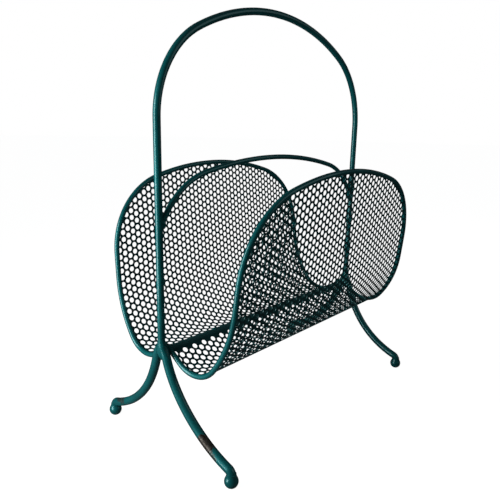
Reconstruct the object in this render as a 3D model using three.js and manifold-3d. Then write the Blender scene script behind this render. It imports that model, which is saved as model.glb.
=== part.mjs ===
// Magazine basket of welded steel rod and perforated sheet.
// A tall hoop is both the handle and the two posts. A lower arch between the posts divides
// the two compartments, a pair of bent legs spreads from the foot of each post, and each
// compartment is one perforated sheet, curled over the base rod and bent into a trough,
// with a rod welded round its edge.
// Millimetres, +Z up. The origin is on the floor, in the middle between the four feet.
// X runs along the basket, and Y runs across it from the front compartment to the back one.

import * as THREE from 'three';
import { mergeGeometries, mergeVertices } from 'three/addons/utils/BufferGeometryUtils.js';
import Module from 'manifold-3d';

const wasm = await Module();
wasm.setup();

// Stock
const ROD_DIAMETER = 8;
const SLIM_ROD_DIAMETER = 6;
const LEG_ROD_DIAMETER = 10;
const SHEET_THICKNESS = 0.6;
const GAP = 0.3;

// Hoop, along its centre line
const HOOP_HALF_WIDTH = 190;
const HOOP_SHOULDER_HEIGHT = 360;
const HOOP_CORNER_RADIUS = 104;
const HOOP_TOP_RADIUS = 290;
const POST_FOOT_HEIGHT = 124;

// Inner arch, along its centre line
const ARCH_JOINT_HEIGHT = 255;
const ARCH_CORNER_RADIUS = 92;
const ARCH_TOP_RADIUS = 560;
const ARCH_JOINT_ANGLE = 25;

// Legs and feet
const FOOT_HALF_SPREAD = 100;
const FOOT_BALL_DIAMETER = 15;
const FOOT_FLAT_DEPTH = 1;
const LEG_TOP_OFFSET = 5;
const LEG_RADIUS = 136;
const LEG_BEND_RADIUS = 6;
const LEG_LEAN = 5;

// Cross-section of a compartment, along the middle of the sheet
const BASE_ROD_HEIGHT = 116.4;
const INNER_WALL_ANGLE = 38;
const INNER_WALL_LENGTH = 20.5;
const TROUGH_RADIUS = 34.7;
const TROUGH_OUTER_ANGLE = 52;
const PANEL_FOOT_RADIUS = 131;
const PANEL_LEAN_ANGLE = 6.3;

// Outline of a compartment, on the flattened sheet, along the rim rod's centre line
const SIDE_LENGTH = 177;
const SIDE_TAPER_ANGLE = 2;
const CORNER_RADIUS = 95;
const TOP_RADIUS = 395;

// Perforation: round holes in staggered columns. One modelled hole stands for a block of
// punched ones, as many wide and high as the block count, and opens as much of the field.
// Holes are cut off along a plain border, and one with little left is left out.
const HOLE_DIAMETER = 6.2;
const HOLE_PITCH = 8.25;
const HOLE_BLOCK_COUNT = 4;
const RIDGE_BORDER = 4.3;
const RIM_BORDER = 1.5;
const SMALLEST_HOLE_SHARE = 0.25;
const SHORTEST_HOLE_EDGE = 1.5;
const HOLE_SIDES = 6;
const CUT_OVERRUN = 3;

// Facets
const ROD_SIDES = 10;
const SLIM_ROD_SIDES = 8;
const BALL_SIDES = 16;
const BALL_RINGS = 6;
const ARC_CHORD_HEIGHT = 0.25;
const LARGEST_STEP_ANGLE = 15;

const LACQUER = { color: 0x0f4a4b, roughness: 0.32, metalness: 0.15 };

const degrees = (angle) => THREE.MathUtils.degToRad(angle);
const toDegrees = (angle) => THREE.MathUtils.radToDeg(angle);

// A flat bent line: straight runs and arcs, each going on where the last one ends.
// Turns are in degrees, and a turn to the left is positive.
class BentLine extends THREE.CurvePath {
  constructor(x, y, heading) {
    super();
    this.end = new THREE.Vector2(x, y);
    this.heading = degrees(heading);
    this.marks = [0];
  }

  run(length) {
    const step = new THREE.Vector2(Math.cos(this.heading), Math.sin(this.heading));
    const next = this.end.clone().addScaledVector(step, length);
    this.add(new THREE.LineCurve(this.end, next));
    this.end = next;
    this.marks.push(this.marks.at(-1) + length);
    return this;
  }

  turn(radius, angle) {
    const side = Math.sign(angle);
    const swing = degrees(angle);
    const toCentre = this.heading + side * Math.PI / 2;
    const centreX = this.end.x + radius * Math.cos(toCentre);
    const centreY = this.end.y + radius * Math.sin(toCentre);
    const first = toCentre + Math.PI;
    const last = first + swing;
    this.add(new THREE.EllipseCurve(centreX, centreY, radius, radius, first, last, side < 0, 0));
    this.end = new THREE.Vector2(centreX + radius * Math.cos(last), centreY + radius * Math.sin(last));
    this.heading += swing;
    const chordAngle = 2 * toDegrees(Math.acos(1 - Math.min(ARC_CHORD_HEIGHT / radius, 1)));
    const steps = Math.ceil(Math.abs(angle) / Math.min(chordAngle, LARGEST_STEP_ANGLE));
    const start = this.marks.at(-1);
    for (let step = 1; step <= steps; step += 1) {
      this.marks.push(start + radius * Math.abs(swing) * step / steps);
    }
    return this;
  }

  at(distance) {
    return this.getPoint(THREE.MathUtils.clamp(distance / this.getLength(), 0, 1));
  }
}

// The centre line of a rod: a flat bent line, and the way from its points to space.
// The extrusion steps fall on the marks, which lie close together only where the rod bends.
class RodCurve extends THREE.Curve {
  constructor(line, place, marks = line.marks) {
    super();
    this.line = line;
    this.place = place;
    this.shares = marks.map((mark) => mark / marks.at(-1));
  }

  getPoint(share) {
    return this.place(this.line.getPoint(share));
  }

  getUtoTmapping(share) {
    const steps = this.shares.length - 1;
    const step = Math.min(Math.floor(share * steps + Number.EPSILON * steps), steps - 1);
    return THREE.MathUtils.lerp(this.shares[step], this.shares[step + 1], share * steps - step);
  }
}

function roundSection(radius, sides) {
  const corners = [];
  for (let side = 0; side < sides; side += 1) {
    const angle = 2 * Math.PI * (side + 1 / 2) / sides;
    corners.push(new THREE.Vector2(radius * Math.cos(angle), radius * Math.sin(angle)));
  }
  return new THREE.Shape(corners);
}

function rodGeometry(curve, diameter, sides) {
  const steps = curve.shares.length - 1;
  return new THREE.ExtrudeGeometry(roundSection(diameter / 2, sides), { steps, extrudePath: curve });
}

// Closed solids for cutting, and back to geometry
function toSolid(geometry) {
  const bare = geometry.index ? geometry.toNonIndexed() : geometry.clone();
  bare.deleteAttribute('normal');
  bare.deleteAttribute('uv');
  const merged = mergeVertices(bare);
  const vertProperties = merged.attributes.position.array;
  const triVerts = new Uint32Array(merged.index.array);
  return new wasm.Manifold(new wasm.Mesh({ numProp: 3, vertProperties, triVerts }));
}

function toGeometry(solid) {
  const mesh = solid.getMesh();
  const geometry = new THREE.BufferGeometry();
  geometry.setAttribute('position', new THREE.BufferAttribute(mesh.vertProperties, 3));
  geometry.setIndex(new THREE.BufferAttribute(mesh.triVerts, 1));
  geometry.computeVertexNormals();
  return geometry;
}

function largestPiece(solid) {
  return solid.decompose().reduce((best, piece) => (piece.volume() > best.volume() ? piece : best));
}

const basket = new THREE.Group();

function addPiece(name, geometry) {
  const mesh = new THREE.Mesh(geometry, new THREE.MeshStandardMaterial(LACQUER));
  mesh.name = name;
  basket.add(mesh);
  return mesh;
}

// The handle hoop: two upright posts, two corner arcs and a flatter arc across the top
const lengthwise = (point) => new THREE.Vector3(point.x, 0, point.y);

function hoopGeometry() {
  const cornerShare = (HOOP_HALF_WIDTH - HOOP_CORNER_RADIUS) / (HOOP_TOP_RADIUS - HOOP_CORNER_RADIUS);
  const corner = toDegrees(Math.acos(cornerShare));
  const foot = POST_FOOT_HEIGHT + GAP;
  const line = new BentLine(-HOOP_HALF_WIDTH, foot, 90)
    .run(HOOP_SHOULDER_HEIGHT - foot)
    .turn(HOOP_CORNER_RADIUS, -corner)
    .turn(HOOP_TOP_RADIUS, -2 * (90 - corner))
    .turn(HOOP_CORNER_RADIUS, -corner)
    .run(HOOP_SHOULDER_HEIGHT - foot);
  return rodGeometry(new RodCurve(line, lengthwise), ROD_DIAMETER, ROD_SIDES);
}

// The inner arch, with its ends coped round the posts
const archEnd = HOOP_HALF_WIDTH - ROD_DIAMETER / 2;

function archGeometry() {
  const reach = archEnd - ARCH_CORNER_RADIUS * Math.cos(degrees(ARCH_JOINT_ANGLE));
  const shoulder = toDegrees(Math.acos(reach / (ARCH_TOP_RADIUS - ARCH_CORNER_RADIUS)));
  const heading = degrees(90 - ARCH_JOINT_ANGLE);
  const startX = -archEnd - ROD_DIAMETER * Math.cos(heading);
  const startZ = ARCH_JOINT_HEIGHT - ROD_DIAMETER * Math.sin(heading);
  const line = new BentLine(startX, startZ, 90 - ARCH_JOINT_ANGLE)
    .run(ROD_DIAMETER)
    .turn(ARCH_CORNER_RADIUS, ARCH_JOINT_ANGLE - shoulder)
    .turn(ARCH_TOP_RADIUS, -2 * (90 - shoulder))
    .turn(ARCH_CORNER_RADIUS, ARCH_JOINT_ANGLE - shoulder)
    .run(ROD_DIAMETER);
  let arch = toSolid(rodGeometry(new RodCurve(line, lengthwise), SLIM_ROD_DIAMETER, SLIM_ROD_SIDES));
  const postRadius = ROD_DIAMETER / 2 + GAP;
  const postLength = ARCH_CORNER_RADIUS;
  for (const end of [-1, 1]) {
    const post = new THREE.CylinderGeometry(postRadius, postRadius, postLength, 2 * ROD_SIDES);
    post.rotateX(Math.PI / 2);
    post.translate(end * HOOP_HALF_WIDTH, 0, ARCH_JOINT_HEIGHT);
    arch = arch.subtract(toSolid(post));
  }
  return toGeometry(arch);
}

// A leg: a long arc spreading from under the post, then a tight bend down onto the ball.
// The arc's centre lies where both the top of the leg and the tight bend fit the arc.
const ballRadius = FOOT_BALL_DIAMETER / 2;
const ballCentreHeight = ballRadius - FOOT_FLAT_DEPTH;
const ballTopHeight = ballCentreHeight + Math.sqrt(ballRadius ** 2 - (LEG_ROD_DIAMETER / 2) ** 2);
const legFootHeight = ballTopHeight + GAP;

function legLine() {
  const top = new THREE.Vector2(LEG_TOP_OFFSET, POST_FOOT_HEIGHT);
  const bend = new THREE.Vector2(FOOT_HALF_SPREAD - LEG_BEND_RADIUS, legFootHeight);
  const outerRadius = LEG_RADIUS + LEG_BEND_RADIUS;
  const between = bend.clone().sub(top);
  const span = between.length();
  const along = (span ** 2 + LEG_RADIUS ** 2 - outerRadius ** 2) / (2 * span);
  const aside = Math.sqrt(LEG_RADIUS ** 2 - along ** 2);
  between.normalize();
  const centre = top.clone().addScaledVector(between, along);
  centre.add(new THREE.Vector2(-between.y, between.x).multiplyScalar(aside));
  const first = toDegrees(Math.atan2(top.y - centre.y, top.x - centre.x));
  const last = toDegrees(Math.atan2(bend.y - centre.y, bend.x - centre.x));
  const sweep = THREE.MathUtils.euclideanModulo(last - first, 360);
  const heading = degrees(first + 90);
  const startY = top.x - LEG_ROD_DIAMETER * Math.cos(heading);
  const startZ = top.y - LEG_ROD_DIAMETER * Math.sin(heading);
  const shallow = first + 90 + sweep;
  return new BentLine(startY, startZ, first + 90)
    .run(LEG_ROD_DIAMETER)
    .turn(LEG_RADIUS, sweep)
    .turn(LEG_BEND_RADIUS, -THREE.MathUtils.euclideanModulo(shallow + 90, 360));
}

function legGeometry(end, side) {
  const drop = POST_FOOT_HEIGHT - legFootHeight;
  const place = (point) => {
    const lean = LEG_LEAN * THREE.MathUtils.smoothstep(POST_FOOT_HEIGHT - point.y, 0, drop);
    return new THREE.Vector3(end * (HOOP_HALF_WIDTH - lean), side * point.x, point.y);
  };
  const rod = toSolid(rodGeometry(new RodCurve(legLine(), place), LEG_ROD_DIAMETER, ROD_SIDES));
  const reach = 2 * HOOP_HALF_WIDTH;
  const keep = new THREE.BoxGeometry(reach, reach, POST_FOOT_HEIGHT);
  keep.translate(end * HOOP_HALF_WIDTH, side * (reach + GAP) / 2, POST_FOOT_HEIGHT / 2);
  return toGeometry(rod.intersect(toSolid(keep)));
}

// A ball foot, flat where it stands and where the leg sits on it
function footGeometry() {
  const flatRadius = Math.sqrt(ballRadius ** 2 - ballCentreHeight ** 2);
  const lowest = Math.atan2(-ballCentreHeight, flatRadius);
  const highest = Math.atan2(ballTopHeight - ballCentreHeight, LEG_ROD_DIAMETER / 2);
  const profile = [new THREE.Vector2(0, 0)];
  for (let ring = 0; ring <= BALL_RINGS; ring += 1) {
    const angle = THREE.MathUtils.lerp(lowest, highest, ring / BALL_RINGS);
    const out = ballRadius * Math.cos(angle);
    const up = ballCentreHeight + ballRadius * Math.sin(angle);
    profile.push(new THREE.Vector2(out, up));
  }
  profile.push(new THREE.Vector2(0, ballTopHeight));
  const ball = new THREE.LatheGeometry(profile, BALL_SIDES);
  ball.rotateX(Math.PI / 2);
  return ball;
}

// The flattened outline of a compartment's rim: across the ridge at one end, up the side,
// round the top and down the other side. x is along the basket, y is along the sheet.
const rimHalfWidth = HOOP_HALF_WIDTH - LEG_ROD_DIAMETER / 2 - SLIM_ROD_DIAMETER / 2 - GAP;

function rimOutline() {
  const taper = degrees(SIDE_TAPER_ANGLE);
  const reach = rimHalfWidth - SIDE_LENGTH * Math.sin(taper) - CORNER_RADIUS * Math.cos(taper);
  const corner = toDegrees(Math.acos(reach / (TOP_RADIUS - CORNER_RADIUS)));
  return new BentLine(-rimHalfWidth, 0, 90 - SIDE_TAPER_ANGLE)
    .run(SIDE_LENGTH)
    .turn(CORNER_RADIUS, SIDE_TAPER_ANGLE - corner)
    .turn(TOP_RADIUS, -2 * (90 - corner))
    .turn(CORNER_RADIUS, SIDE_TAPER_ANGLE - corner)
    .run(SIDE_LENGTH);
}

const outline = rimOutline();
const outlinePoints = outline.marks.map((mark) => outline.at(mark));
const outlineTop = Math.max(...outlinePoints.map((point) => point.y));

// The cross-section of a compartment: curled over the base rod, down the inner wall, through
// the trough and up the leaning panel. The two compartments meet at a seam on the ridge.
const ridgeRadius = SLIM_ROD_DIAMETER / 2 + GAP + SHEET_THICKNESS / 2;

function sectionLine() {
  const bent = new BentLine(GAP, BASE_ROD_HEIGHT + ridgeRadius, 0)
    .turn(ridgeRadius, -INNER_WALL_ANGLE)
    .run(INNER_WALL_LENGTH)
    .turn(TROUGH_RADIUS, INNER_WALL_ANGLE + TROUGH_OUTER_ANGLE)
    .turn(PANEL_FOOT_RADIUS, 90 - TROUGH_OUTER_ANGLE - PANEL_LEAN_ANGLE);
  return bent.run(outlineTop + SLIM_ROD_DIAMETER - bent.marks.at(-1));
}

const section = sectionLine();

function rimCurve(side) {
  const place = (point) => {
    const across = section.at(point.y);
    return new THREE.Vector3(point.x, side * across.x, across.y);
  };
  const rise = Math.cos(degrees(SIDE_TAPER_ANGLE));
  const length = outline.marks.at(-1);
  const bends = section.marks.map((mark) => mark / rise);
  const upSide = bends.filter((mark) => mark > 0 && mark < SIDE_LENGTH);
  const downSide = upSide.map((mark) => length - mark);
  const marks = [...outline.marks, ...upSide, ...downSide].sort((a, b) => a - b);
  return new RodCurve(outline, place, marks);
}

// The bent sheet before trimming: the cross-section with its thickness, along X
function bentSheet(side) {
  const outer = [];
  const inner = [];
  for (const mark of section.marks) {
    const point = section.at(mark);
    const normal = sectionNormal(mark);
    outer.push(point.clone().addScaledVector(normal, -SHEET_THICKNESS / 2));
    inner.push(point.clone().addScaledVector(normal, SHEET_THICKNESS / 2));
  }
  const profile = new THREE.Shape([...outer, ...inner.reverse()]);
  const depth = 2 * rimHalfWidth;
  const sheet = new THREE.ExtrudeGeometry(profile, { depth, steps: 1, bevelEnabled: false });
  // Shape x to Y, shape y to Z, depth to X
  sheet.rotateX(Math.PI / 2);
  sheet.rotateZ(Math.PI / 2);
  sheet.translate(-rimHalfWidth, 0, 0);
  return side > 0 ? sheet : turnedAround(sheet);
}

// Turned half round about Z, which swaps the front and the back of a lengthwise solid
function turnedAround(geometry) {
  geometry.rotateZ(Math.PI);
  return geometry;
}

function sectionNormal(distance) {
  const share = THREE.MathUtils.clamp(distance / section.getLength(), 0, 1);
  const tangent = section.getTangent(share);
  return new THREE.Vector2(-tangent.y, tangent.x);
}

// A modelled hole has straight sides, and corners a little outside the circle, so its area is
// the circle's. Its sides lie level with its neighbours', which leaves even webs between them.
const cornerShare = Math.sqrt(2 * Math.PI / (HOLE_SIDES * Math.sin(2 * Math.PI / HOLE_SIDES)));
const cornerRadius = HOLE_BLOCK_COUNT * cornerShare * HOLE_DIAMETER / 2;
const blockPitch = HOLE_BLOCK_COUNT * HOLE_PITCH;

// The edges of the field on the flattened sheet: a point of each, and the way into the field
function fieldEdges() {
  const border = SLIM_ROD_DIAMETER / 2 + GAP + RIM_BORDER;
  const edges = [{ point: new THREE.Vector2(0, RIDGE_BORDER), inward: new THREE.Vector2(0, 1) }];
  for (let index = 1; index < outlinePoints.length; index += 1) {
    const from = outlinePoints[index - 1];
    const along = outlinePoints[index].clone().sub(from).normalize();
    const inward = new THREE.Vector2(along.y, -along.x);
    edges.push({ point: from.clone().addScaledVector(inward, border), inward });
  }
  return edges;
}

// The corners of a hole, cut off along the edges of the field
function holeCorners(spot, edges) {
  let corners = [];
  for (let side = 0; side < HOLE_SIDES; side += 1) {
    const angle = 2 * Math.PI * side / HOLE_SIDES;
    const corner = new THREE.Vector2(Math.cos(angle), Math.sin(angle)).multiplyScalar(cornerRadius);
    corners.push(corner.add(spot));
  }
  for (const edge of edges) {
    corners = cutOff(corners, edge);
  }
  return corners.filter((corner, index) => {
    const next = corners[(index + 1) % corners.length];
    return corner.distanceTo(next) > SHORTEST_HOLE_EDGE;
  });
}

function cutOff(corners, edge) {
  const kept = [];
  corners.forEach((corner, index) => {
    const next = corners[(index + 1) % corners.length];
    const depth = corner.clone().sub(edge.point).dot(edge.inward);
    const nextDepth = next.clone().sub(edge.point).dot(edge.inward);
    if (depth >= 0) {
      kept.push(corner);
    }
    if (depth * nextDepth < 0) {
      kept.push(corner.clone().lerp(next, depth / (depth - nextDepth)));
    }
  });
  return kept;
}

// Hole cutters, square to the sheet, on staggered columns that run up the sheet
function holeCutters(side) {
  const columnStep = blockPitch * Math.sqrt(3) / 2;
  const columns = Math.ceil(rimHalfWidth / columnStep);
  const rows = Math.ceil(outlineTop / blockPitch);
  const fullArea = Math.PI * (HOLE_BLOCK_COUNT * HOLE_DIAMETER / 2) ** 2;
  const edges = fieldEdges();
  const cutters = [];
  for (let column = -columns; column <= columns; column += 1) {
    const stagger = column % 2 === 0 ? 1 / 2 : 0;
    for (let row = 0; row <= rows; row += 1) {
      const spot = new THREE.Vector2(column * columnStep, RIDGE_BORDER + (row + stagger) * blockPitch);
      const corners = holeCorners(spot, edges);
      if (Math.abs(THREE.ShapeUtils.area(corners)) > SMALLEST_HOLE_SHARE * fullArea) {
        cutters.push(holeCutter(corners, side));
      }
    }
  }
  return mergeGeometries(cutters);
}

// The flat corners on a block, set square to the sheet at their middle
function holeCutter(corners, side) {
  const middle = new THREE.Box2().setFromPoints(corners).getCenter(new THREE.Vector2());
  const place = section.at(middle.y);
  const flat = sectionNormal(middle.y);
  const lengthways = new THREE.Vector3(1, 0, 0);
  const normal = new THREE.Vector3(0, flat.x, side * flat.y);
  const upSheet = new THREE.Vector3().crossVectors(normal, lengthways);
  const basis = new THREE.Matrix4().makeBasis(lengthways, upSheet, normal);
  basis.setPosition(middle.x, side * place.x, place.y);
  const depth = 2 * (SHEET_THICKNESS + CUT_OVERRUN);
  const hole = new THREE.Shape(corners.map((corner) => corner.clone().sub(middle)));
  const cutter = new THREE.ExtrudeGeometry(hole, { depth, steps: 1, bevelEnabled: false });
  cutter.translate(0, 0, -depth / 2);
  return cutter.applyMatrix4(basis);
}

// A perforated sheet, trimmed along its rim rod with the rod's clearance
function sheetGeometry(side) {
  const trim = rodGeometry(rimCurve(side), SLIM_ROD_DIAMETER + 2 * GAP, SLIM_ROD_SIDES);
  const sheet = largestPiece(toSolid(bentSheet(side)).subtract(toSolid(trim)));
  return toGeometry(sheet.subtract(toSolid(holeCutters(side))));
}

// The base rod lies under the curled ridge, between the ends of the rim rods
function baseRodGeometry() {
  const halfLength = rimHalfWidth - SLIM_ROD_DIAMETER / 2 - GAP;
  const line = new BentLine(-halfLength, BASE_ROD_HEIGHT, 0).run(2 * halfLength);
  return rodGeometry(new RodCurve(line, lengthwise), SLIM_ROD_DIAMETER, SLIM_ROD_SIDES);
}

addPiece('handle_hoop', hoopGeometry());
addPiece('divider_arch', archGeometry());
addPiece('base_rod', baseRodGeometry());

const sides = [
  { word: 'front', sign: -1 },
  { word: 'back', sign: 1 },
];
const ends = [
  { word: 'left', sign: -1 },
  { word: 'right', sign: 1 },
];

for (const side of sides) {
  addPiece(`rim_rod_${side.word}`, rodGeometry(rimCurve(side.sign), SLIM_ROD_DIAMETER, SLIM_ROD_SIDES));
  addPiece(`sheet_${side.word}`, sheetGeometry(side.sign));
  for (const end of ends) {
    addPiece(`leg_${side.word}_${end.word}`, legGeometry(end.sign, side.sign));
    const foot = addPiece(`foot_${side.word}_${end.word}`, footGeometry());
    foot.position.set(end.sign * (HOOP_HALF_WIDTH - LEG_LEAN), side.sign * FOOT_HALF_SPREAD, 0);
  }
}

export default basket;
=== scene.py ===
# %% [markdown]
# # A magazine basket of bent rod and perforated sheet
# The real basket is welded from rod of three thicknesses and two perforated sheets, and then
# lacquered. The measured frame is loaded first, because each piece here has to lie exactly where
# its solid is.

# %% Load the frame
import bisect
import math

import bmesh
import bpy
from mathutils import Matrix, Vector


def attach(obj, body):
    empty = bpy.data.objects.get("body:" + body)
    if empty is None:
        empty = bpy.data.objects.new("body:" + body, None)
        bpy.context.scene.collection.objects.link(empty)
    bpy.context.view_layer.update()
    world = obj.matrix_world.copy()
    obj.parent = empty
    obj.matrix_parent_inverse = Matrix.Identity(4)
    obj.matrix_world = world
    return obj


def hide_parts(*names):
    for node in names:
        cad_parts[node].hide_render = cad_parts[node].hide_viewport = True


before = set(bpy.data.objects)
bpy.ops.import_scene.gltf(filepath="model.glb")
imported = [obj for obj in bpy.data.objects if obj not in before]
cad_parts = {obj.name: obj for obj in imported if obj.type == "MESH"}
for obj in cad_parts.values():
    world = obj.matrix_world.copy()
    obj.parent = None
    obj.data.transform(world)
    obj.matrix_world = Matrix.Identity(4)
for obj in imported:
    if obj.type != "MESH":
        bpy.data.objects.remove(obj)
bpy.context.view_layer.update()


# %% [markdown]
# ## The camera
# The view was solved from the basket's own symmetry: the hoop, the rims and the feet each have a
# mirror image, so one picture is enough. The three axes of the camera are built from the turn, the
# tilt and the slight roll, which is easier to check than a set of rotation angles.

# %% Camera
VIEW_TURN = math.radians(-49.078)
VIEW_TILT = math.radians(13.003)
VIEW_ROLL = math.radians(1.148)
CAMERA_PLACE = Vector((-0.50901, -0.39956, 0.34721))
FRAME_SIZE = 500
FOCAL_LENGTH = 503.1
SENSOR_WIDTH = 36.0
NEAREST_SEEN = 0.01

camera_back = Vector((
    math.sin(VIEW_TURN) * math.cos(VIEW_TILT),
    -math.cos(VIEW_TURN) * math.cos(VIEW_TILT),
    math.sin(VIEW_TILT)))
level_right = Vector((0, 0, 1)).cross(camera_back).normalized()
level_up = camera_back.cross(level_right)
camera_right = level_right * math.cos(VIEW_ROLL) + level_up * math.sin(VIEW_ROLL)
camera_up = level_up * math.cos(VIEW_ROLL) - level_right * math.sin(VIEW_ROLL)

camera_data = bpy.data.cameras.new("view")
camera_data.sensor_width = SENSOR_WIDTH
camera_data.lens = SENSOR_WIDTH * FOCAL_LENGTH / FRAME_SIZE
camera_data.clip_start = NEAREST_SEEN
camera = bpy.data.objects.new("view", camera_data)
bpy.context.scene.collection.objects.link(camera)
axes = Matrix((camera_right, camera_up, camera_back)).transposed()
camera.matrix_world = Matrix.Translation(CAMERA_PLACE) @ axes.to_4x4()
bpy.context.scene.camera = camera
print("lens", round(camera_data.lens, 2), "mm")

# %% [markdown]
# ## The sizes
# A maker works in millimetres, so the sizes are written that way and turned into metres once.
# They are the same as those of the solids. Angles are in degrees.

# %% Sizes, in millimetres
MM = 0.001
# How thick the rods and the sheets are
ROD = 8.0
SLIM_ROD = 6.0
LEG_ROD = 10.0
SHEET = 0.6

# The hoop: half its width, a height, the radii of the corners and the top, and a height
HOOP_HALF_WIDTH = 190.0
HOOP_SHOULDER = 360.0
HOOP_CORNER = 104.0
HOOP_TOP = 290.0
POST_FOOT = 124.0

# The arch: the height of its ends, the radii of the corners and the top, and its lean at the ends
ARCH_JOINT = 255.0
ARCH_CORNER = 92.0
ARCH_TOP = 560.0
ARCH_ANGLE = 25.0

# The feet and legs: where they stand across, the balls, and the radii of a leg's arc and bend
FOOT_SPREAD = 100.0
BALL = 15.0
BALL_FLAT = 1.0
LEG_OFFSET = 5.0
LEG_ARC = 136.0
LEG_BEND = 6.0
LEG_LEAN = 5.0

# A compartment from the ridge outwards: the trough and the foot of the panel are radii
BASE_ROD = 116.4
WELD_GAP = 0.3
INNER_WALL_ANGLE = 38.0
INNER_WALL = 20.5
TROUGH = 34.7
TROUGH_OUTER_ANGLE = 52.0
PANEL_FOOT = 131.0
PANEL_LEAN = 6.3

# The edge of a flat sheet: its straight sides, and the radii of the corners and the top
SIDE = 177.0
SIDE_TAPER = 2.0
RIM_CORNER = 95.0
RIM_TOP = 395.0

# The holes: how wide, and how far from one middle to the next
HOLE = 6.2
HOLE_PITCH = 8.25
print("rods of", SLIM_ROD, ROD, "and", LEG_ROD, "mm, sheet of", SHEET, "mm")

# %% [markdown]
# ## A line of runs and turns
# Rod is bent on a former: a straight run, a turn at a set radius, another run. Such a line could be
# drawn as a curve with handles, but then its radii would be found by eye. Runs and turns take the
# real radii and describe every rod here, so one helper makes closely spaced stations of them.

# %% Bent lines
FINEST_TURN = math.radians(3)


def bent_line(x, y, heading, moves, spacing=4.0):
    """Stations of a flat line. A move is (0, length) for a run, or (radius, degrees) for a turn."""
    heading = math.radians(heading)
    stations = [Vector((x, y))]
    for radius, amount in moves:
        here = stations[-1]
        if radius == 0:
            steps = max(1, math.ceil(amount / spacing))
            along = Vector((math.cos(heading), math.sin(heading)))
            stations += [here + along * amount * step / steps for step in range(1, steps + 1)]
            continue
        swing = math.radians(amount)
        side = math.copysign(1, swing)
        centre = here + radius * side * Vector((-math.sin(heading), math.cos(heading)))
        steps = math.ceil(max(abs(swing) * radius / spacing, abs(swing) / FINEST_TURN, 2))
        arm = here - centre
        for step in range(1, steps + 1):
            stations.append(centre + Matrix.Rotation(swing * step / steps, 2) @ arm)
        heading += swing
    return stations


print("a quarter turn of", RIM_CORNER, "mm takes", len(bent_line(0, 0, 0, [(RIM_CORNER, 90)])) - 1,
      "steps")

# %% [markdown]
# ## Sweeping a rod
# A rod starts as one circle. Each step extrudes its edge, turns the new ring to the way the rod
# goes there and moves it on, as a bender feeds rod through. A curve with a bevel would look the
# same, but this way the ends are closed and the mesh is one skin. The faces are turned out last,
# because an extruded edge doesn't know which side is the inside.

# %% Pieces and rods
SLIM_SIDES = 18
THICK_SIDES = 24


def finish_piece(name, bm, slot, *nodes, smooth_angle=40):
    """Makes the mesh an object in metres that rides on the basket and stands for its solids."""
    bmesh.ops.scale(bm, vec=(MM, MM, MM), verts=bm.verts)
    mesh = bpy.data.meshes.new(name)
    bm.to_mesh(mesh)
    bm.free()
    mesh.shade_smooth()
    mesh.set_sharp_from_angle(angle=math.radians(smooth_angle))
    piece = bpy.data.objects.new(name, mesh)
    bpy.context.scene.collection.objects.link(piece)
    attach(piece, "root")
    if nodes:
        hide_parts(*nodes)
    return piece


def corners_of(parts):
    return [part for part in parts if isinstance(part, bmesh.types.BMVert)]


def grow_ring(bm, ring):
    """Extrudes a ring of edges where it is. Gives the new ring and its corners."""
    grown = bmesh.ops.extrude_edge_only(bm, edges=ring)["geom"]
    corners = corners_of(grown)
    fresh = set(corners)
    ring = [part for part in grown if isinstance(part, bmesh.types.BMEdge)
            and part.verts[0] in fresh and part.verts[1] in fresh]
    return ring, corners


def sweep_rod(path, radius, sides=SLIM_SIDES):
    """A closed round rod along a path of points, in millimetres."""
    ways = [(b - a).normalized() for a, b in zip(path, path[1:])]
    aims = [ways[0]] + [(a + b).normalized() for a, b in zip(ways, ways[1:])] + [ways[-1]]
    bm = bmesh.new()
    start = Matrix.Translation(path[0]) @ aims[0].to_track_quat("Z", "Y").to_matrix().to_4x4()
    bmesh.ops.create_circle(bm, cap_ends=True, segments=sides, radius=radius, matrix=start)
    ring = bm.edges[:]
    for index in range(1, len(path)):
        ring, corners = grow_ring(bm, ring)
        swing = aims[index - 1].rotation_difference(aims[index]).to_matrix()
        bmesh.ops.rotate(bm, cent=path[index - 1], matrix=swing, verts=corners)
        bmesh.ops.translate(bm, vec=path[index] - path[index - 1], verts=corners)
    bmesh.ops.edgeloop_fill(bm, edges=ring)
    bmesh.ops.recalc_face_normals(bm, faces=bm.faces)
    return bm


print("slim rods have", SLIM_SIDES, "sides, thick ones", THICK_SIDES)

# %% [markdown]
# ## The handle hoop
# One length of rod makes both posts and the handle, and no joint shows on it, so it is drawn in one
# go. The top is an arc of a much larger radius than the shoulders, which is what makes the handle
# look drawn rather than round.

# %% Handle hoop
corner_share = (HOOP_HALF_WIDTH - HOOP_CORNER) / (HOOP_TOP - HOOP_CORNER)
hoop_corner_angle = math.degrees(math.acos(corner_share))
post_run = HOOP_SHOULDER - POST_FOOT
hoop_line = bent_line(-HOOP_HALF_WIDTH, POST_FOOT, 90, [
    (0, post_run), (HOOP_CORNER, -hoop_corner_angle), (HOOP_TOP, 2 * hoop_corner_angle - 180),
    (HOOP_CORNER, -hoop_corner_angle), (0, post_run)])


def stood_up(line):
    """A flat line stood up in the plane of the posts."""
    return [Vector((point.x, 0, point.y)) for point in line]


hoop = finish_piece("hoop_rod", sweep_rod(stood_up(hoop_line), ROD / 2, THICK_SIDES),
                    "lacquered_rod", "handle_hoop")
print("hoop top", round(max(p.y for p in hoop_line) + ROD / 2, 1), "mm")

# %% [markdown]
# ## The dividing arch
# The slimmer rod springs from the posts a little above the rims' shoulders. It could stop at the
# face of the posts, but its ends run into them, as a welded end does, so nothing shows between.

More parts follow.
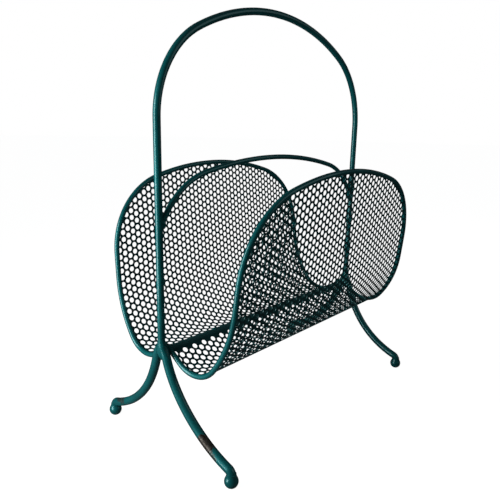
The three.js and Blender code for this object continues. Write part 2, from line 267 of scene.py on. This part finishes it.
# %% Dividing arch
ARCH_RUN_IN = SLIM_ROD / 2
arch_end = HOOP_HALF_WIDTH - ROD / 2
arch_reach = arch_end - ARCH_CORNER * math.cos(math.radians(ARCH_ANGLE))
arch_shoulder = math.degrees(math.acos(arch_reach / (ARCH_TOP - ARCH_CORNER)))
arch_way = math.radians(90 - ARCH_ANGLE)
arch_line = bent_line(
    -arch_end - ARCH_RUN_IN * math.cos(arch_way), ARCH_JOINT - ARCH_RUN_IN * math.sin(arch_way),
    90 - ARCH_ANGLE,
    [(0, ARCH_RUN_IN), (ARCH_CORNER, ARCH_ANGLE - arch_shoulder),
     (ARCH_TOP, 2 * arch_shoulder - 180), (ARCH_CORNER, ARCH_ANGLE - arch_shoulder),
     (0, ARCH_RUN_IN)])
arch = finish_piece("arch_rod", sweep_rod(stood_up(arch_line), SLIM_ROD / 2),
                    "lacquered_rod", "divider_arch")
print("arch top", round(max(p.y for p in arch_line) + SLIM_ROD / 2, 1), "mm")

# %% [markdown]
# ## The bend of a compartment
# Each sheet curls over the base rod, goes down the inner wall, round the trough and up the leaning
# panel. A point of the flat sheet is found on the bent one by its distance from the ridge, so the
# same rule bends the sheet, its holes and the rod round its edge.

# %% Section of a compartment
LONGEST_PANEL = 140.0
ridge_radius = SLIM_ROD / 2 + WELD_GAP + SHEET / 2
section_line = bent_line(0, BASE_ROD + ridge_radius, 0, [
    (ridge_radius, -INNER_WALL_ANGLE), (0, INNER_WALL),
    (TROUGH, INNER_WALL_ANGLE + TROUGH_OUTER_ANGLE),
    (PANEL_FOOT, 90 - TROUGH_OUTER_ANGLE - PANEL_LEAN), (0, LONGEST_PANEL)], spacing=0.5)
section_marks = [0.0]
for near, far in zip(section_line, section_line[1:]):
    section_marks.append(section_marks[-1] + (far - near).length)


def on_section(distance):
    """(across, up) of the point of the bent sheet that lies that far from the ridge."""
    index = min(max(bisect.bisect_right(section_marks, distance), 1), len(section_marks) - 1)
    before, after = section_marks[index - 1], section_marks[index]
    share = (distance - before) / (after - before)
    return section_line[index - 1].lerp(section_line[index], share)


print("trough floor at", round(min(p.y for p in section_line), 1), "mm")

# %% [markdown]
# ## The rims
# The rim rod follows the edge of the sheet: up one end from the ridge, round the top and down the
# other end. It could be drawn in space, but it is simpler to draw its line on the flat sheet and
# bend it with that.

# %% Rim rods
SIDES = {"front": -1, "back": 1}
rim_half_width = HOOP_HALF_WIDTH - LEG_ROD / 2 - SLIM_ROD / 2 - WELD_GAP
taper = math.radians(SIDE_TAPER)
rim_reach = rim_half_width - SIDE * math.sin(taper) - RIM_CORNER * math.cos(taper)
rim_corner_angle = math.degrees(math.acos(rim_reach / (RIM_TOP - RIM_CORNER)))


def rim_outline(spacing):
    """The edge of the flat sheet: x along the basket, y up the sheet from the ridge."""
    return bent_line(-rim_half_width, 0, 90 - SIDE_TAPER, [
        (0, SIDE), (RIM_CORNER, SIDE_TAPER - rim_corner_angle),
        (RIM_TOP, 2 * rim_corner_angle - 180),
        (RIM_CORNER, SIDE_TAPER - rim_corner_angle), (0, SIDE)], spacing)


def bent_on(side, flat):
    """A point of the flat sheet in its place on the bent one."""
    across = on_section(flat.y)
    return Vector((flat.x, side * across.x, across.y))


rim_line = rim_outline(spacing=2.0)
rims = {}
for word, side in SIDES.items():
    path = [bent_on(side, point) for point in rim_line]
    rims[word] = finish_piece("rim_%s_rod" % word, sweep_rod(path, SLIM_ROD / 2),
                              "lacquered_rod", "rim_rod_%s" % word)
print("rim top", round(max(bent_on(1, p).z for p in rim_line), 1), "mm")

# %% [markdown]
# ## The base rod
# A straight rod lies under the curl of the ridge, between the ends of the rims, and shows from
# below. It is swept like the others, so that its ends are closed and it catches light as they do.

# %% Base rod
BASE_STEPS = 12
base_length = 2 * rim_half_width
base_path = [Vector((-rim_half_width + base_length * step / BASE_STEPS, 0, BASE_ROD))
             for step in range(BASE_STEPS + 1)]
base = finish_piece("ridge_rod", sweep_rod(base_path, SLIM_ROD / 2), "lacquered_rod", "base_rod")
print("base rod", round(base_length, 1), "mm long")

# %% [markdown]
# ## The line of a leg
# A leg spreads from under the post on one long arc, and turns down sharply onto its ball. The
# centre of the long arc could be tried out, but it is worked out: it is where both the top of the
# leg and the tight bend fit on the arc. The feet stand a little nearer together than the posts, so
# a leg also leans in on its way down.

# %% Line of a leg
ball_radius = BALL / 2
ball_centre = ball_radius - BALL_FLAT
ball_top = ball_centre + math.sqrt(ball_radius ** 2 - (LEG_ROD / 2) ** 2)
leg_foot = ball_top + WELD_GAP


def leg_stations():
    """The leg seen from the end of the basket: across, and up."""
    top = Vector((LEG_OFFSET, POST_FOOT))
    bend = Vector((FOOT_SPREAD - LEG_BEND, leg_foot))
    between = bend - top
    span = between.length
    along = (span ** 2 + LEG_ARC ** 2 - (LEG_ARC + LEG_BEND) ** 2) / (2 * span)
    aside = math.sqrt(LEG_ARC ** 2 - along ** 2)
    between.normalize()
    centre = top + between * along + Vector((-between.y, between.x)) * aside
    first = math.degrees(math.atan2(top.y - centre.y, top.x - centre.x))
    last = math.degrees(math.atan2(bend.y - centre.y, bend.x - centre.x))
    sweep = (last - first) % 360
    return bent_line(top.x, top.y, first + 90,
                     [(LEG_ARC, sweep), (LEG_BEND, -((first + 180 + sweep) % 360))], spacing=2.5)


def ease(value, start, end):
    """0 at the start and 1 at the end, with a smooth run between them."""
    share = min(max((value - start) / (end - start), 0), 1)
    return share * share * (3 - 2 * share)


def leaning(end, side, flat):
    """A point of the leg's line in its place at one corner of the basket."""
    lean = LEG_LEAN * ease(flat.y, POST_FOOT, leg_foot)
    return Vector((end * (HOOP_HALF_WIDTH - lean), side * flat.x, flat.y))


leg_line = leg_stations()
print("leg:", len(leg_line), "stations, foot at", round(leg_foot, 2), "mm")

# %% [markdown]
# ## The ball feet
# A ball is welded under each leg. It could be a sphere cut flat below, but one turned profile gives
# the flat, the ball and the short neck of weld up the rod in one closed mesh.

# %% Ball feet
NECK = 3.0
NECK_SWELL = 0.2
NECK_START = math.radians(14)
NECK_SHARES = (0.25, 0.5, 0.75, 1.0)
PROFILE_STEPS = 14
FOOT_SIDES = 32
SAME_POINT = 0.001


def foot_profile():
    """The outline of a foot from the floor up, on the XZ plane."""
    lowest = math.atan2(-ball_centre, math.sqrt(ball_radius ** 2 - ball_centre ** 2))
    highest = math.atan2(ball_top - ball_centre, LEG_ROD / 2) - NECK_START
    profile = [Vector((0, 0, 0))]
    for step in range(PROFILE_STEPS + 1):
        angle = lowest + (highest - lowest) * step / PROFILE_STEPS
        profile.append(Vector((ball_radius * math.cos(angle), 0,
                               ball_centre + ball_radius * math.sin(angle))))
    edge = profile[-1]
    neck_top = Vector((LEG_ROD / 2 + NECK_SWELL, 0, ball_top + NECK))
    for share in NECK_SHARES:
        pull = (1 - share) ** 2
        profile.append(Vector((neck_top.x + (edge.x - neck_top.x) * pull, 0,
                               edge.z + (neck_top.z - edge.z) * share)))
    return profile + [Vector((0, 0, neck_top.z))]


def ball_foot(place):
    """A ball turned round a vertical axis, flat below and with a neck above, in millimetres."""
    bm = bmesh.new()
    corners = [bm.verts.new(point) for point in foot_profile()]
    lines = [bm.edges.new(pair) for pair in zip(corners, corners[1:])]
    bmesh.ops.spin(bm, geom=corners + lines, cent=(0, 0, 0), axis=(0, 0, 1), angle=2 * math.pi,
                   steps=FOOT_SIDES, use_merge=True)
    bmesh.ops.remove_doubles(bm, verts=bm.verts, dist=SAME_POINT)
    bmesh.ops.translate(bm, vec=place, verts=bm.verts)
    bmesh.ops.recalc_face_normals(bm, faces=bm.faces)
    return bm


print("foot profile:", len(foot_profile()), "points, turned in", FOOT_SIDES, "steps")

# %% [markdown]
# ## Legs and feet in place
# Two legs stand under each post. They could end square there, but on the real basket their outer
# sides run on into the post, so the top of each leg is narrowed towards the middle.

# %% Legs and feet
ENDS = {"left": -1, "right": 1}
PINCH_FROM = 112.0
PINCH_TO = 127.0
PINCH_SHARE = 0.35


def pinch(bm):
    """Narrows the top of a leg towards the middle, so that its outer side runs into the post."""
    for corner in bm.verts:
        corner.co.y *= 1 - PINCH_SHARE * ease(corner.co.z, PINCH_FROM, PINCH_TO)
    return bm


leg_pieces = []
for word, side in SIDES.items():
    for end_word, end in ENDS.items():
        where = "%s_%s" % (word, end_word)
        path = [leaning(end, side, point) for point in leg_line]
        leg_rod = pinch(sweep_rod(path, LEG_ROD / 2, THICK_SIDES))
        leg_pieces.append(finish_piece("leg_%s_rod" % where, leg_rod,
                                       "lacquered_rod", "leg_%s" % where))
        stand = Vector((end * (HOOP_HALF_WIDTH - LEG_LEAN), side * FOOT_SPREAD, 0))
        leg_pieces.append(finish_piece("ball_%s" % where, ball_foot(stand),
                                       "lacquered_rod", "foot_%s" % where))
print("legs and feet:", len(leg_pieces), "pieces")

# %% [markdown]
# ## The weld where the legs meet
# Weld metal fills the corner between the post and its two legs, and the crotch below it, and then
# the lacquer rounds it over. It could be part of the rods, but it is a shape of its own: a ring is
# grown downwards, widened to cover both legs and narrowed again to end inside the crotch.

# %% Junction welds
WELD_SIDES = 24


def weld_loft(stations):
    """A closed blob of level rings. A station is (place, half width in X, half width in Y)."""
    bm = bmesh.new()
    place, wide, deep = stations[0]
    bmesh.ops.create_circle(bm, cap_ends=True, segments=WELD_SIDES, radius=1)
    bmesh.ops.scale(bm, vec=(wide, deep, 1), verts=bm.verts)
    bmesh.ops.translate(bm, vec=place, verts=bm.verts)
    ring = bm.edges[:]
    for next_place, next_wide, next_deep in stations[1:]:
        ring, corners = grow_ring(bm, ring)
        bmesh.ops.translate(bm, vec=-place, verts=corners)
        bmesh.ops.scale(bm, vec=(next_wide / wide, next_deep / deep, 1), verts=corners)
        bmesh.ops.translate(bm, vec=next_place, verts=corners)
        place, wide, deep = next_place, next_wide, next_deep
    bmesh.ops.edgeloop_fill(bm, edges=ring)
    bmesh.ops.recalc_face_normals(bm, faces=bm.faces)
    return bm


# Height, half width along the basket and half width across it
JUNCTION_RINGS = ((135.0, 3.9, 3.9), (131.0, 4.05, 4.1), (128.0, 4.2, 4.6), (125.5, 4.4, 5.6),
                  (122.5, 4.6, 6.5), (119.0, 4.5, 6.8), (115.5, 4.1, 5.6), (112.5, 3.3, 3.9),
                  (110.0, 2.3, 2.3), (108.4, 1.5, 1.3), (107.4, 0.7, 0.6))
welds = []
for end_word, end in ENDS.items():
    rings = [(Vector((end * HOOP_HALF_WIDTH, 0, height)), wide, deep)
             for height, wide, deep in JUNCTION_RINGS]
    welds.append(finish_piece("junction_weld_%s" % end_word, weld_loft(rings), "lacquered_rod",
                              smooth_angle=60))
print("junction welds:", len(welds))

# %% [markdown]
# ## The smaller beads
# Rounded beads of weld sit where the arch meets the posts, and one is on the ridge near the left
# end. They could have ripples, but none show through the lacquer, so a ball pulled out of round is
# enough.

# %% Weld beads
ARCH_BEAD = (3.6, 3.9, 5.4)
ARCH_BEAD_TURN = math.radians(12)
ARCH_BEAD_SUNK = 0.6
ARCH_BEAD_RISE = 0.4
RIDGE_BEAD = (4.2, 2.6, 2.6)
RIDGE_BEAD_PLACE = Vector((-110.0, 0, BASE_ROD + 2.4))


def bead(place, size, turn=0.0):
    """A rounded bead of weld, in millimetres, with its half widths along the three axes."""
    bm = bmesh.new()
    bmesh.ops.create_icosphere(bm, subdivisions=3, radius=1)
    bmesh.ops.scale(bm, vec=size, verts=bm.verts)
    bmesh.ops.rotate(bm, cent=(0, 0, 0), matrix=Matrix.Rotation(turn, 3, "Y"), verts=bm.verts)
    bmesh.ops.translate(bm, vec=place, verts=bm.verts)
    return bm


for end_word, end in ENDS.items():
    spot = Vector((end * (arch_end - ARCH_BEAD_SUNK), 0, ARCH_JOINT + ARCH_BEAD_RISE))
    welds.append(finish_piece("arch_weld_%s" % end_word,
                              bead(spot, ARCH_BEAD, end * ARCH_BEAD_TURN), "lacquered_rod"))
welds.append(finish_piece("ridge_weld", bead(RIDGE_BEAD_PLACE, RIDGE_BEAD), "lacquered_rod"))
print("welds:", len(welds))

# %% [markdown]
# ## The tile of the perforated sheets
# Such sheet is punched flat, cut to shape and then bent, and the piece is made in that order. The
# holes could be cut one by one, which is slow. Instead one six-sided tile with a round hole fits
# against its copies without a seam. Plain tiles make the unpunched band at the ridge.

# %% Tiles
TILE_RADIUS = HOLE_PITCH / math.sqrt(3)
HOLE_SIDES = 12


def tile(punched):
    """A six-sided tile of the flat sheet, with its hole or plain."""
    bm = bmesh.new()
    bmesh.ops.create_circle(bm, cap_ends=not punched, segments=6, radius=TILE_RADIUS,
                            matrix=Matrix.Rotation(math.pi / 6, 4, "Z"))
    bmesh.ops.subdivide_edges(bm, edges=bm.edges[:], cuts=1)
    if punched:
        bmesh.ops.create_circle(bm, segments=HOLE_SIDES, radius=HOLE / 2)
        bmesh.ops.bridge_loops(bm, edges=bm.edges[:])
    return bm


print("tile faces:", len(tile(True).faces), "punched,", len(tile(False).faces), "plain")

# %% [markdown]
# ## The flat blank
# A column of tiles and then copies of the column give the whole field. It is set one column aside
# from the middle and leaves a plain band at the ridge, because that is how the holes lie on the
# real sheets. The edge is cut with one plane for each short stretch of the outline, which works
# because the outline is convex. A few more cuts give the curl over the base rod enough corners.

# %% Flat blank
COLUMN_STEP = HOLE_PITCH * math.sqrt(3) / 2
FIELD_SHIFT = COLUMN_STEP
RIDGE_BAND = 8.2
CURL_CUTS = 5
MERGE = 0.01
ON_PLANE = MERGE / 10
first_row = RIDGE_BAND + HOLE / 2
columns = math.ceil((rim_half_width + FIELD_SHIFT) / COLUMN_STEP)
rows = math.ceil((max(p.y for p in rim_line) - first_row) / HOLE_PITCH) + 1
plain_rows = math.ceil(RIDGE_BAND / HOLE_PITCH) + 1


def everything(bm):
    return bm.verts[:] + bm.edges[:] + bm.faces[:]


def copy_moved(bm, source, move):
    made = bmesh.ops.duplicate(bm, geom=source)["geom"]
    bmesh.ops.translate(bm, vec=move, verts=corners_of(made))


def tile_column():
    """One column of tiles, plain ones below the first row and punched ones from there up."""
    plain = tile(False)
    plain_tile = everything(plain)
    bmesh.ops.translate(plain, vec=(0, -HOLE_PITCH, 0), verts=plain.verts)
    for row in range(1, plain_rows):
        copy_moved(plain, plain_tile, (0, -row * HOLE_PITCH, 0))
    plain_mesh = bpy.data.meshes.new("plain_tiles")
    plain.to_mesh(plain_mesh)
    plain.free()
    bm = tile(True)
    punched_tile = everything(bm)
    for row in range(1, rows):
        copy_moved(bm, punched_tile, (0, row * HOLE_PITCH, 0))
    bm.from_mesh(plain_mesh)
    bpy.data.meshes.remove(plain_mesh)
    return bm


def cut_to_outline(bm):
    """Cuts the field along the rim and the ridge, and divides it where it curls."""
    edge = rim_outline(spacing=SIDE)
    cuts = [(a, Vector((a.y - b.y, b.x - a.x, 0))) for a, b in zip(edge, edge[1:])]
    cuts.append((Vector((0, 0)), Vector((0, -1, 0))))
    for place, outward in cuts:
        bmesh.ops.bisect_plane(bm, geom=everything(bm), dist=ON_PLANE, plane_co=place.to_3d(),
                               plane_no=outward, clear_outer=True)
    curl = ridge_radius * math.radians(INNER_WALL_ANGLE)
    for step in range(1, CURL_CUTS + 1):
        bmesh.ops.bisect_plane(bm, geom=everything(bm), dist=ON_PLANE,
                               plane_co=(0, curl * step / CURL_CUTS, 0), plane_no=(0, 1, 0))


def flat_blank():
    """The punched sheet before it is bent: x along the basket, y up the sheet from the ridge."""
    bm = tile_column()
    column = everything(bm)
    for index in range(1, columns + 1):
        drop = HOLE_PITCH / 2 if index % 2 else 0
        for way in (-1, 1):
            copy_moved(bm, column, (way * index * COLUMN_STEP, drop, 0))
    bmesh.ops.translate(bm, vec=(FIELD_SHIFT, first_row, 0), verts=bm.verts)
    bmesh.ops.remove_doubles(bm, verts=bm.verts, dist=MERGE)
    cut_to_outline(bm)
    bmesh.ops.remove_doubles(bm, verts=bm.verts, dist=MERGE)
    return bm


blank = flat_blank()
print("blank:", len(blank.faces), "faces, cut from", 2 * columns + 1, "columns of tiles")

# %% [markdown]
# ## Bending the sheets
# The sheets could be bent by a modifier, but the rods need the same bend, so both use one rule.
# Thickness is added first as a second skin. Then each corner moves to its place on the section,
# half the thickness to its own side, and the faces are turned out last.

# %% Perforated sheets
SLOPE_REACH = 0.25


def bend_sheet(bm, side):
    """Thickens the flat blank and bends it onto one compartment's section."""
    lower = bm.verts[:]
    upper = corners_of(bmesh.ops.extrude_face_region(bm, geom=bm.faces[:])["geom"])
    for corners, offset in ((lower, -SHEET / 2), (upper, SHEET / 2)):
        for corner in corners:
            along = corner.co.y
            here = on_section(along)
            way = (on_section(along + SLOPE_REACH) - on_section(along - SLOPE_REACH)).normalized()
            corner.co = (corner.co.x, side * (here.x - way.y * offset), here.y + way.x * offset)
    bmesh.ops.recalc_face_normals(bm, faces=bm.faces)
    return bm


sheets = {}
for word, side in SIDES.items():
    sheets[word] = finish_piece("perforated_sheet_%s" % word, bend_sheet(blank.copy(), side),
                                "lacquered_sheet", "sheet_%s" % word, smooth_angle=35)
    print(word, len(sheets[word].data.polygons), "faces")
blank.free()

# %% [markdown]
# ## Words for the shaders
# A material is a tree of small nodes, and the same few kinds come back in it. Each could be written
# out every time, but a helper for each lets the recipe of the lacquer read as a recipe.

# %% Shader helpers
MATH = "ShaderNodeMath"
VECTOR_MATH = "ShaderNodeVectorMath"
# The colour sockets of a Mix node
MIX_A, MIX_B, MIX_RESULT = 6, 7, 2


def noise(tree, where, settings):
    """A noise pattern laid out in the piece's own space."""
    node = tree.nodes.new("ShaderNodeTexNoise")
    for name, value in settings.items():
        node.inputs[name].default_value = value
    tree.links.new(where, node.inputs["Vector"])
    return node.outputs["Fac"]


def blend_colours(tree, share, low, high):
    """Goes from one colour to the other with the share. A colour is a value or a socket."""
    mix = tree.nodes.new("ShaderNodeMix")
    mix.data_type = "RGBA"
    tree.links.new(share, mix.inputs["Factor"])
    for socket, colour in ((MIX_A, low), (MIX_B, high)):
        if isinstance(colour, tuple):
            mix.inputs[socket].default_value = colour
        else:
            tree.links.new(colour, mix.inputs[socket])
    return mix.outputs[MIX_RESULT]


def spread(tree, value, given, wanted):
    """Maps the given range of a value onto the wanted one."""
    node = tree.nodes.new("ShaderNodeMapRange")
    tree.links.new(value, node.inputs["Value"])
    for name, amount in zip(("From Min", "From Max", "To Min", "To Max"), given + wanted):
        node.inputs[name].default_value = amount
    return node.outputs["Result"]


def worked_out(tree, kind, operation, first, second=None):
    """The result of a sum. The second term is a value or a socket."""
    node = tree.nodes.new(kind)
    node.operation = operation
    tree.links.new(first, node.inputs[0])
    if isinstance(second, bpy.types.NodeSocket):
        tree.links.new(second, node.inputs[1])
    elif second is not None:
        node.inputs[1].default_value = second
    gives_vector = kind == VECTOR_MATH and operation != "LENGTH"
    return node.outputs["Vector" if gives_vector else "Value"]


print("a Mix node takes its colours on sockets", MIX_A, "and", MIX_B)

# %% [markdown]
# ## The rubbed spots
# Low on two of the legs the paint has gone, as if rubbed off, and brown, dull metal shows. Such
# spots could be painted on an image, but here each is an egg-shaped space round a place on a leg,
# which needs no image. The fine grain frays its edge.

# %% Rubbed spots
# Where a noise goes from low to high
NOISE_RANGE = (0.3, 0.7)
FRAY = (-0.22, 0.22)
RUB_EDGE = (0.92, 1.04)
# Place and reach along the three axes in metres, and how bare the metal is
RUBBED = (
    ((-0.1868, -0.0648, 0.0325), (0.012, 0.0118, 0.0108), 1.0),
    ((-0.1910, -0.0735, 0.0235), (0.0038, 0.0105, 0.0095), 0.75),
    ((-0.1870, 0.0825, 0.0272), (0.0045, 0.0145, 0.0046), 0.55))


def bare_metal(tree, where, grain, spots):
    """How bare the metal is: each spot's own strength inside it, and 0 outside."""
    metal = None
    for place, reach, strength in spots:
        away = worked_out(tree, VECTOR_MATH, "SUBTRACT", where, place)
        scaled = worked_out(tree, VECTOR_MATH, "DIVIDE", away, reach)
        length = worked_out(tree, VECTOR_MATH, "LENGTH", scaled)
        frayed = worked_out(tree, MATH, "ADD", length, spread(tree, grain, NOISE_RANGE, FRAY))
        spot = spread(tree, frayed, RUB_EDGE, (strength, 0))
        metal = spot if metal is None else worked_out(tree, MATH, "MAXIMUM", metal, spot)
    return metal


print("rubbed spots:", len(RUBBED))

# %% [markdown]
# ## The lacquer
# The finish is a deep blue-green lacquer, with highlights that are green too. Plain paint would be
# simpler, but its highlights are white. Here metal flake in the lacquer colours them, and a clear
# coat over it makes them sharp. The rods have the thicker coat, and the sheets are duller. The
# colour and the gloss wander slowly, as if the lacquer was thicker in some places, and it has the
# fine waves of sprayed paint. Along the top of the ridge the sheets have painted light: a lighter
# colour stands in for the light that falls on the top of the curl over the base rod.

# %% Lacquer
ROD_PAINT = {"deep": (0.004, 0.25, 0.265, 1), "light": (0.009, 0.36, 0.378, 1),
             "flake": 0.28, "coat": 0.8, "coat_roughness": 0.08}
SHEET_PAINT = {"deep": (0.018, 0.12, 0.125, 1), "light": (0.030, 0.19, 0.197, 1),
               "flake": 0.25, "coat": 0.3, "coat_roughness": 0.32}
# Painted light: the lighter colour of the lit top of the ridge, and how far from Y = 0 it fades
RIDGE_PAINTED_LIGHT = (0.06, 0.26, 0.265, 1)
RIDGE_PAINTED_LIGHT_FADE = (0.0034, 0.0054)
PATCHES = {"Scale": 24.0, "Detail": 5.0, "Roughness": 0.6}
GRAIN = {"Scale": 420.0, "Detail": 3.0}
DEEP_TO_LIGHT = (0.35, 0.68)
GLOSS = (0.30, 0.40)
WAVE_STRENGTH = 0.06
WAVE_HEIGHT = 0.0006
BARE_DARK = (0.10, 0.085, 0.072, 1)
BARE_LIGHT = (0.30, 0.28, 0.255, 1)
DARK_TO_LIGHT = (0.35, 0.65)
BARE_METALLIC = 0.9
BARE_ROUGHNESS = 0.38


def lacquer(name, paint, ridge_painted_light=None, rubbed=()):
    """Lacquer with flake under a clear coat, and painted light near Y = 0, on the ridge's lit top.
    """
    material = bpy.data.materials.new(name)
    material.use_nodes = True
    tree = material.node_tree
    shader = tree.nodes["Principled BSDF"]
    shader.inputs["Metallic"].default_value = paint["flake"]
    shader.inputs["Coat Weight"].default_value = paint["coat"]
    shader.inputs["Coat Roughness"].default_value = paint["coat_roughness"]
    where = tree.nodes.new("ShaderNodeTexCoord").outputs["Object"]
    patches = noise(tree, where, PATCHES)
    grain = noise(tree, where, GRAIN)
    thickness = spread(tree, patches, DEEP_TO_LIGHT, (0, 1))
    colour = blend_colours(tree, thickness, paint["deep"], paint["light"])
    gloss = spread(tree, patches, NOISE_RANGE, GLOSS)
    # Painted light: near Y = 0 the colour is lifted to a lighter one, for the lit top of the ridge
    if ridge_painted_light:
        place = tree.nodes.new("ShaderNodeSeparateXYZ")
        tree.links.new(where, place.inputs[0])
        off_ridge = worked_out(tree, MATH, "ABSOLUTE", place.outputs["Y"])
        colour = blend_colours(tree, spread(tree, off_ridge, RIDGE_PAINTED_LIGHT_FADE, (1, 0)), colour, ridge_painted_light)
    if rubbed:
        metal = bare_metal(tree, where, grain, rubbed)
        bare = blend_colours(tree, spread(tree, grain, DARK_TO_LIGHT, (0, 1)),
                             BARE_DARK, BARE_LIGHT)
        colour = blend_colours(tree, metal, colour, bare)
        metallic = spread(tree, metal, (0, 1), (paint["flake"], BARE_METALLIC))
        tree.links.new(metallic, shader.inputs["Metallic"])
        dull = spread(tree, metal, (0, 1), (0, BARE_ROUGHNESS))
        gloss = worked_out(tree, MATH, "MAXIMUM", gloss, dull)
    tree.links.new(colour, shader.inputs["Base Color"])
    tree.links.new(gloss, shader.inputs["Roughness"])
    waves = tree.nodes.new("ShaderNodeBump")
    waves.inputs["Strength"].default_value = WAVE_STRENGTH
    waves.inputs["Distance"].default_value = WAVE_HEIGHT
    tree.links.new(grain, waves.inputs["Height"])
    tree.links.new(waves.outputs["Normal"], shader.inputs["Normal"])
    return material


rod_lacquer = lacquer("rod_lacquer", ROD_PAINT, rubbed=RUBBED)
sheet_lacquer = lacquer("sheet_lacquer", SHEET_PAINT, ridge_painted_light=RIDGE_PAINTED_LIGHT)
for piece in [hoop, arch, base, *rims.values(), *leg_pieces, *welds]:
    piece.data.materials.append(rod_lacquer)
for piece in sheets.values():
    piece.data.materials.append(sheet_lacquer)
print("materials:", rod_lacquer.name, sheet_lacquer.name)

# %% [markdown]
# ## The floor
# Under the basket the picture is white. One white floor would do for the camera, but what falls
# from it on the rods would veil the dark sides of the legs. So the camera sees bright paper, and
# all other rays meet a duller one, as if the paper ended just outside the picture.

# %% Floor
FLOOR_HALF_WIDTH = 30
PAPER = (0.86, 0.86, 0.86, 1)
PAPER_ROUGHNESS = 0.9
PAPER_GLOW = 0.97
DULL_PAPER = (0.22, 0.22, 0.22, 1)
WHITE = (1, 1, 1, 1)


def show(tree, seen, unseen, output):
    """Shows one shader to the camera and another one to all other rays."""
    ray = tree.nodes.new("ShaderNodeLightPath")
    either = tree.nodes.new("ShaderNodeMixShader")
    tree.links.new(ray.outputs["Is Camera Ray"], either.inputs["Fac"])
    tree.links.new(unseen.outputs[0], either.inputs[1])
    tree.links.new(seen.outputs[0], either.inputs[2])
    tree.links.new(either.outputs[0], tree.nodes[output].inputs["Surface"])


floor_bm = bmesh.new()
bmesh.ops.create_grid(floor_bm, x_segments=1, y_segments=1, size=FLOOR_HALF_WIDTH)
floor_mesh = bpy.data.meshes.new("floor")
floor_bm.to_mesh(floor_mesh)
floor_bm.free()
floor = bpy.data.objects.new("floor", floor_mesh)
bpy.context.scene.collection.objects.link(floor)

floor_paint = bpy.data.materials.new("pale_floor")
floor_paint.use_nodes = True
floor_tree = floor_paint.node_tree
paper = floor_tree.nodes["Principled BSDF"]
paper.inputs["Base Color"].default_value = PAPER
paper.inputs["Roughness"].default_value = PAPER_ROUGHNESS
glow = floor_tree.nodes.new("ShaderNodeEmission")
glow.inputs["Color"].default_value = WHITE
glow.inputs["Strength"].default_value = PAPER_GLOW
lit_paper = floor_tree.nodes.new("ShaderNodeAddShader")
floor_tree.links.new(paper.outputs[0], lit_paper.inputs[0])
floor_tree.links.new(glow.outputs[0], lit_paper.inputs[1])
dull_paper = floor_tree.nodes.new("ShaderNodeBsdfDiffuse")
dull_paper.inputs["Color"].default_value = DULL_PAPER
show(floor_tree, lit_paper, dull_paper, "Material Output")
floor_mesh.materials.append(floor_paint)
print("floor:", 2 * FLOOR_HALF_WIDTH, "m wide")

# %% [markdown]
# ## The lights
# The rods in the picture have one bright line each and a dark side. A large light all round would
# lose both, so a tall, narrow one stands near the floor at the left end of the basket. A weak,
# large one from the front right keeps the dark sides from going black.

# %% Lights
def soft_light(name, place, aim, size, power):
    """A flat light, in metres and watts, that the camera doesn't see."""
    data = bpy.data.lights.new(name, "AREA")
    data.shape = "RECTANGLE"
    data.size, data.size_y = size
    data.energy = power
    light = bpy.data.objects.new(name, data)
    light.location = place
    light.rotation_euler = (Vector(place) - Vector(aim)).to_track_quat("Z", "Y").to_euler()
    light.visible_camera = False
    bpy.context.scene.collection.objects.link(light)
    return light


window = soft_light("window", place=(-0.66, 0.17, 0.29), aim=(-0.187, 0, 0.29),
                    size=(0.26, 0.56), power=1.9)
fill = soft_light("fill", place=(0.9, -1.3, 0.9), aim=(0, 0, 0.2), size=(1.2, 1.0), power=1.0)
print("lights:", window.name, fill.name)

# %% [markdown]
# ## The surroundings
# Behind the basket the picture is white. A white world would light the rods from all sides too, so
# only the camera sees it. What the rods reflect is a dim room.

# %% Surroundings
ROOM_COLOUR = (0.80, 0.86, 0.90, 1)
ROOM_STRENGTH = 0.03
world = bpy.data.worlds.new("studio")
bpy.context.scene.world = world
world.use_nodes = True
room = world.node_tree.nodes["Background"]
room.inputs["Color"].default_value = ROOM_COLOUR
room.inputs["Strength"].default_value = ROOM_STRENGTH
backdrop = world.node_tree.nodes.new("ShaderNodeBackground")
backdrop.inputs["Color"].default_value = WHITE
show(world.node_tree, backdrop, room, "World Output")
bpy.context.scene.view_settings.view_transform = "Standard"
print("view transform:", bpy.context.scene.view_settings.view_transform)
